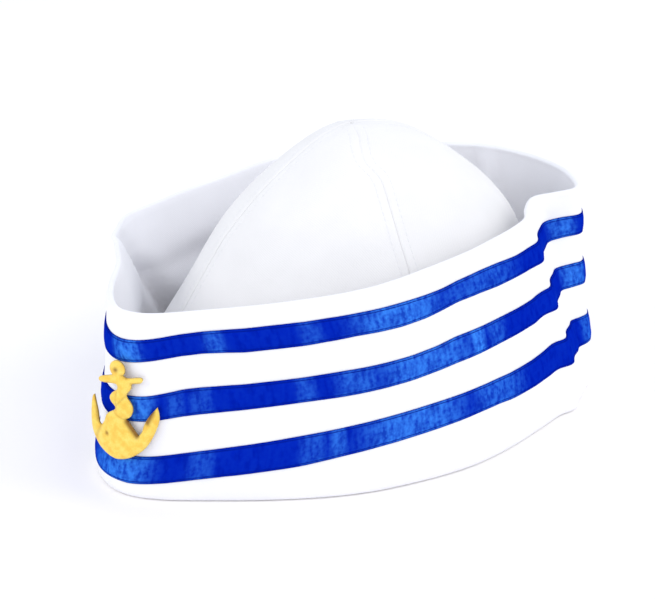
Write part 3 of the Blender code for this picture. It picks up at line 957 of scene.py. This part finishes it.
SHORTEST_SIDE = 0.02           # points of the flat badge nearer than this are joined
FACE_DEGREE = 5                # of the smooth surface that its face is fitted with
FIT_ROUNDS = 6
FIT_BEHIND = 0.5               # the fit leaves out what lies this far behind the surface
BADGE_THICK = 1.5
EDGE_DROP = 0.75               # how far the rounded edge falls below the face
EDGE_ROUND = 2.0
PADDING = 0.45
PADDING_RUN = 4.0              # the padding is full this far in from the edge
SHADE_DIP = 0.25               # how far the threads dip where they are shaded
GOLD = (0.88, 0.605, 0.105)
GOLD_PALE = (0.92, 0.70, 0.17)
GOLD_ORANGE = (0.85, 0.50, 0.07)
GOLD_BROWN_SHADE = (0.22, 0.09, 0.012)
# painted shade: brown laid along these lines, at edges, between parts and in the ring's hole
BADGE_SHADES = (
    # name           from across, up   to across, up   half width  depth
    ("body_edge",          3.4,   -1.5,     7.2,   -6.9,     0.85,   1.00),
    ("right_fluke",       13.6,    2.2,    11.5,   -1.5,     1.05,   1.00),
    ("left_arm",         -11.2,    3.5,   -10.6,   -3.2,     0.60,   0.45),
    ("left_body",         -8.6,   -5.2,   -10.6,   -9.0,     0.80,   0.30),
    ("shank_strand_1",     0.2,    9.6,    -0.6,    2.4,     0.35,   0.30),
    ("shank_strand_2",     3.6,    8.0,     0.0,    4.6,     0.35,   0.30),
    ("shank_strand_3",     2.6,   -0.8,    -1.4,    1.8,     0.35,   0.25),
    ("neck",               2.9,   16.2,     4.6,   15.1,     0.45,   0.40),
    ("stock_right",        6.4,   13.2,     9.8,   13.7,     0.35,   0.40),
    ("stock_left",        -6.6,   12.3,    -2.4,   12.6,     0.35,   0.30),
    ("body_dot",          -5.1,   -6.8,    -5.0,   -6.8,     0.75,   0.90),
    ("ring_hole",          0.9,   18.3,     1.0,   18.3,     0.85,   0.95),
)
SIDE_SHADE = 0.8               # the side of the badge is painted brown as shade
THREAD_SPACING = 0.42
THREAD_RELIEF = 0.04
RING_MARGIN = 0.2              # the ring's threads reach this far beyond it
STOCK_FOOT = 11.8              # the stock's threads end here, up from the badge's middle
SHANK_FOOT = -1.0
SHANK_SIDES = (-6.5, 8.5)
SHANK_SLANT = 0.4
ARM_CENTRE = (0.9, 3.0)
ARM_RADIUS = 12.0


def smooth_outline():
    """The anchor's outline: an arc for the ring, then a curve through the table, with corners at tips."""
    start, end = (math.radians(angle) for angle in RING_ENDS)
    ring = [
        (RING_CENTRE[0] + RING_RADIUS * math.cos(angle), RING_CENTRE[1] + RING_RADIUS * math.sin(angle))
        for angle in np.linspace(start, end, RING_POINTS)
    ]
    points, sharp = ring, [False] * RING_POINTS
    for _, sharp_end, run in ANCHOR_OUTLINE:
        points += run
        sharp += [False] * (len(run) - 1) + [sharp_end]
    count = len(points)
    outline = []
    for index in range(count):
        before, here, there, after = (np.array(points[(index + step) % count]) for step in (-1, 0, 1, 2))
        leave = np.zeros(2) if sharp[index] else (there - before) / 2
        arrive = np.zeros(2) if sharp[(index + 1) % count] else (after - here) / 2
        steps = 1 if index < RING_POINTS - 1 else OUTLINE_STEPS
        for step in range(steps):
            t = step / steps
            outline.append(
                here * (1 - 3 * t ** 2 + 2 * t ** 3) + there * (3 * t ** 2 - 2 * t ** 3)
                + leave * (t - 2 * t ** 2 + t ** 3) + arrive * (t ** 3 - t ** 2)
            )
    return np.array(outline)


def distance_to_run(point, starts, ends):
    """The least distance from a flat point to any of a row of segments."""
    spans = ends - starts
    shares = ((point - starts) * spans).sum(1) / np.maximum((spans ** 2).sum(1), 1e-9)
    nearest = starts + spans * np.clip(shares, 0, 1)[:, None]
    return float(np.min(np.hypot(*(nearest - point).T)))


badge_out = np.array(aim(BADGE_FACING, 0))
badge_aside = np.array(aim(BADGE_FACING + 90, 0))


def face_terms(along, height):
    """The terms of the smooth surface that the badge's face is fitted with."""
    x = (along - BADGE_MIDDLE[0]) / BADGE_HALF_SIZE[0]
    y = (height - BADGE_MIDDLE[1]) / BADGE_HALF_SIZE[1]
    powers = range(FACE_DEGREE)
    return np.stack([x ** i * y ** j for i in powers for j in powers if i + j <= FACE_DEGREE], -1)


def fitted_face():
    """Fits that surface to the front of the frame's badge."""
    corners = np.array([vertex.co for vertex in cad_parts["anchor_badge"].data.vertices]) / MM
    along, depth, height = corners @ badge_aside, corners @ badge_out, corners[:, 2]
    front = np.ones(len(corners), bool)
    for attempt in range(FIT_ROUNDS):
        fit = np.linalg.lstsq(face_terms(along[front], height[front]), depth[front], rcond=None)[0]
        front = depth - face_terms(along, height) @ fit > (-FIT_BEHIND if attempt else 0.0)
    return fit


badge_fit = fitted_face()


def place_on_badge(across, up, proud):
    """A point of the flat anchor, laid on the bent face of the frame's badge."""
    aside = across * math.cos(BADGE_LEAN) - up * math.sin(BADGE_LEAN)
    height = BADGE_MIDDLE[1] + across * math.sin(BADGE_LEAN) + up * math.cos(BADGE_LEAN)
    bend = aside / BADGE_BEND
    along = BADGE_MIDDLE[0] + (BADGE_BEND + proud) * math.sin(bend)
    face = float(face_terms(BADGE_MIDDLE[0] + BADGE_BEND * math.sin(bend), height) @ badge_fit)
    depth = face + proud * math.cos(bend)
    return Vector((*(badge_out * depth + badge_aside * along)[:2], height))


def thread_count(point, middle):
    """Where a flat point lies across the run of the threads, in mm.

    The middle of its face tells which part of the anchor it is in. The ring's and the arms' threads run
    radially.
    """
    if math.dist(middle[:2], RING_CENTRE) < RING_RADIUS + RING_MARGIN:
        centre, radius = RING_CENTRE, RING_RADIUS
    elif middle.y > STOCK_FOOT:
        return point.x
    elif middle.y > SHANK_FOOT and SHANK_SIDES[0] < middle.x < SHANK_SIDES[1]:
        return point.y + SHANK_SLANT * point.x
    else:
        centre, radius = ARM_CENTRE, ARM_RADIUS
    start = math.atan2(middle.y - centre[1], middle.x - centre[0])
    turn = math.atan2(point.y - centre[1], point.x - centre[0]) - start
    return radius * (start + math.remainder(turn, 2 * math.pi))


def gold_thread():
    """Gold embroidery: pale and orange tones in short runs of thread, with painted brown shade along its
    edges and in the grooves between its threads.
    """
    material, start, shader = new_finish("gold_thread", {
        "Specular IOR Level": 0.45, "Specular Tint": (1.0, 0.85, 0.45, 1.0),
        "Sheen Weight": 0.15, "Sheen Tint": (1.0, 0.9, 0.5, 1.0),
    })
    chart = start.chart()
    shade = start.level("shade")
    threads = (start.level("thread") * (2 * math.pi / THREAD_SPACING)).sine()
    tones = chart.speckle(0.32)
    fine = chart.speckle(2.2)
    orange = (tones * 0.8 + fine * 0.2).ramp((0.36, 0.8), (0.50, 0.0))
    pale = (tones * 0.7 + fine * 0.3).ramp((0.48, 0.0), (0.66, 1.0))
    base = orange.mix(pale.mix(GOLD, GOLD_PALE), GOLD_ORANGE)
    # painted shade: brown in the grooves between the threads
    thread_groove_shade = (threads * 0.5 + 0.5).ramp((0.0, 0.16), (0.35, 0.0))
    colour = (shade + thread_groove_shade * 0.55 - shade * thread_groove_shade * 0.55).mix(base, GOLD_BROWN_SHADE)
    relief = (threads * 0.5 + fine).bump(0.5, THREAD_RELIEF)
    feed(shader, {"Base Color": colour, "Roughness": 0.42 + fine * 0.15, "Normal": relief})
    return material


outline = smooth_outline()
starts, ends = outline, np.roll(outline, -1, 0)
bm = bmesh.new()
vertices = [bm.verts.new((*point, 0)) for point in outline]
for vertex, following in zip(vertices, vertices[1:] + vertices[:1]):
    bm.edges.new((vertex, following))
bmesh.ops.triangle_fill(bm, use_beauty=True, edges=bm.edges[:])
reach = int(GRID_REACH / BADGE_CELL)
for direction in ((1, 0, 0), (0, 1, 0)):
    for index in range(-reach, reach + 1):
        place = tuple(BADGE_CELL * (index + GRID_SHIFT) * part for part in direction)
        bmesh.ops.bisect_plane(
            bm, geom=bm.verts[:] + bm.edges[:] + bm.faces[:], dist=1e-5, plane_co=place, plane_no=direction
        )
bmesh.ops.recalc_face_normals(bm, faces=bm.faces[:])
if sum(face.normal.z for face in bm.faces) > 0:
    bmesh.ops.reverse_faces(bm, faces=bm.faces[:])
bmesh.ops.remove_doubles(bm, verts=bm.verts, dist=SHORTEST_SIDE)
chart = bm.loops.layers.uv.new("cloth")
shade_layer = bm.verts.layers.float.new("shade")
thread_layer = bm.loops.layers.float.new("thread")
raised = bmesh.ops.extrude_face_region(bm, geom=bm.faces[:])
face_vertices = {item for item in raised["geom"] if isinstance(item, bmesh.types.BMVert)}
for face in bm.faces:
    face.smooth = True
    face_middle = face.calc_center_median()
    for loop in face.loops:
        loop[chart].uv = loop.vert.co.xy
        loop[thread_layer] = thread_count(loop.vert.co, face_middle)
for vertex in bm.verts:
    across, up_place = vertex.co.xy
    point = np.array((across, up_place))
    inside = distance_to_run(point, starts, ends)
    # painted shade: each point's share of the brown, from the nearest listed line
    shade = 0.0
    for _, x0, y0, x1, y1, half_width, depth in BADGE_SHADES:
        away = distance_to_run(point, np.array(((x0, y0),)), np.array(((x1, y1),)))
        shade = max(shade, depth * bell(away, half_width))
    vertex[shade_layer] = shade
    if vertex in face_vertices:
        rounding = min(inside / EDGE_ROUND, 1.0)
        proud = PADDING * min(inside / PADDING_RUN, 1.0)
        proud -= EDGE_DROP * (1 - math.sqrt(1 - (1 - rounding) ** 2)) + SHADE_DIP * shade
    else:
        proud = -BADGE_THICK
        # painted shade: the badge's sides are brown
        vertex[shade_layer] = max(shade, SIDE_SHADE)
    vertex.co = place_on_badge(across, up_place, proud) * MM
badge = made_piece("anchor", bm, gold_thread())
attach(badge, "root")
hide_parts("anchor_badge")

# --- stitching --------------------------------------------
# Lockstitch in matching thread: blue along both edges of every ribbon, white beside the crown's seams.
STITCH_PITCH = 2.3
STITCH_LENGTH = 1.9
STITCH_THREAD = 0.26
THREAD_WHITE = (0.86, 0.86, 0.885)
THREAD_BLUE = (0.0010, 0.012, 0.30)
STITCH_ROUND = 6
STITCH_STEPS = 4
STITCH_BEARING = 0.5           # a stitch points along the line from this far behind it to as far ahead
NARROWEST = 2.4                # rows narrower than this many stitch distances have no stitches
PLY_GRAIN = 2600.0             # specks to the metre
PLY_RELIEF = 0.05


def sewing_thread(name, colour):
    material, start, shader = new_finish(name, {"Specular IOR Level": 0.0})
    ply = start.place().speckle(PLY_GRAIN)
    relief = ply.bump(0.5, PLY_RELIEF)
    darker = tuple(0.85 * channel for channel in colour)
    feed(shader, {"Base Color": ply.mix(darker, colour), "Roughness": 0.5 + ply * 0.2, "Normal": relief})
    return material


def stitch_places(line, facing):
    """How each stitch of a row lies: along the line, its rounded thread half sunk in the cloth."""
    length = run_length(line[None], 1)[0]
    places = []
    for place in np.arange(STITCH_PITCH / 2, length[-1], STITCH_PITCH):
        middle, ahead, behind = (
            Vector(read_along(place + step, length, line)) for step in (0, STITCH_BEARING, -STITCH_BEARING)
        )
        out = Vector(read_along(place, length, facing))
        run = (ahead - behind).normalized()
        out = (out - run * out.dot(run)).normalized()
        lie = Matrix((out * STITCH_THREAD / 2, out.cross(run) * STITCH_THREAD / 2, run * STITCH_LENGTH / 2))
        lie = lie.transposed().to_4x4()
        lie.translation = middle
        places.append(Matrix.Scale(MM, 4) @ lie)
    return places


def stitched(name, lines, material):
    """One mesh of all the stitches: one is doubled until there are enough, and each is put in place."""
    places = [place for line, facing in lines for place in stitch_places(line, facing)]
    bm = bmesh.new()
    bmesh.ops.create_uvsphere(bm, u_segments=STITCH_ROUND, v_segments=STITCH_STEPS, radius=1.0)
    number = bm.verts.layers.int.new("number")
    made = 1
    while made < len(places):
        first = [vertex for vertex in bm.verts if vertex[number] < len(places) - made]
        first += [face for face in bm.faces if face.verts[0][number] < len(places) - made]
        for item in bmesh.ops.duplicate(bm, geom=first)["geom"]:
            if isinstance(item, bmesh.types.BMVert):
                item[number] += made
        made *= 2
    for vertex in bm.verts:
        vertex.co = places[vertex[number]] @ vertex.co
    for face in bm.faces:
        face.smooth = True
    piece = made_piece(name, bm, material)
    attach(piece, "root")


def stitch_line(points, facing, along, from_end, last):
    """The line across the rows of a piece, at a fixed distance from their first ends or their last."""
    line, out = [], []
    for row, facing_row, run in zip(points, facing, along):
        if run[-1] < NARROWEST * from_end:
            break
        place = run[-1] - from_end if last else from_end
        line.append(read_along(place, run, row))
        out.append(read_along(place, run, facing_row))
    return np.array(line), np.array(out)


blue_thread = sewing_thread("blue_thread", THREAD_BLUE)
white_thread = sewing_thread("white_thread", THREAD_WHITE)
for node, (front, facing) in ribbon_surfaces.items():
    turned = [wrapped(grid).transpose(1, 0, 2) for grid in (front, facing)]
    widths = run_length(turned[0], 1)
    lines = [stitch_line(*turned, widths, STITCH_FROM_EDGE, last) for last in (False, True)]
    stitched(node.replace("ribbon", "ribbon_stitches"), lines, blue_thread)
seam_lines = [
    stitch_line(*gore, TOPSTITCH_FROM_SEAM, last) for gore in gore_faces for last in (False, True)
]
stitched("crown_topstitching", seam_lines, white_thread)
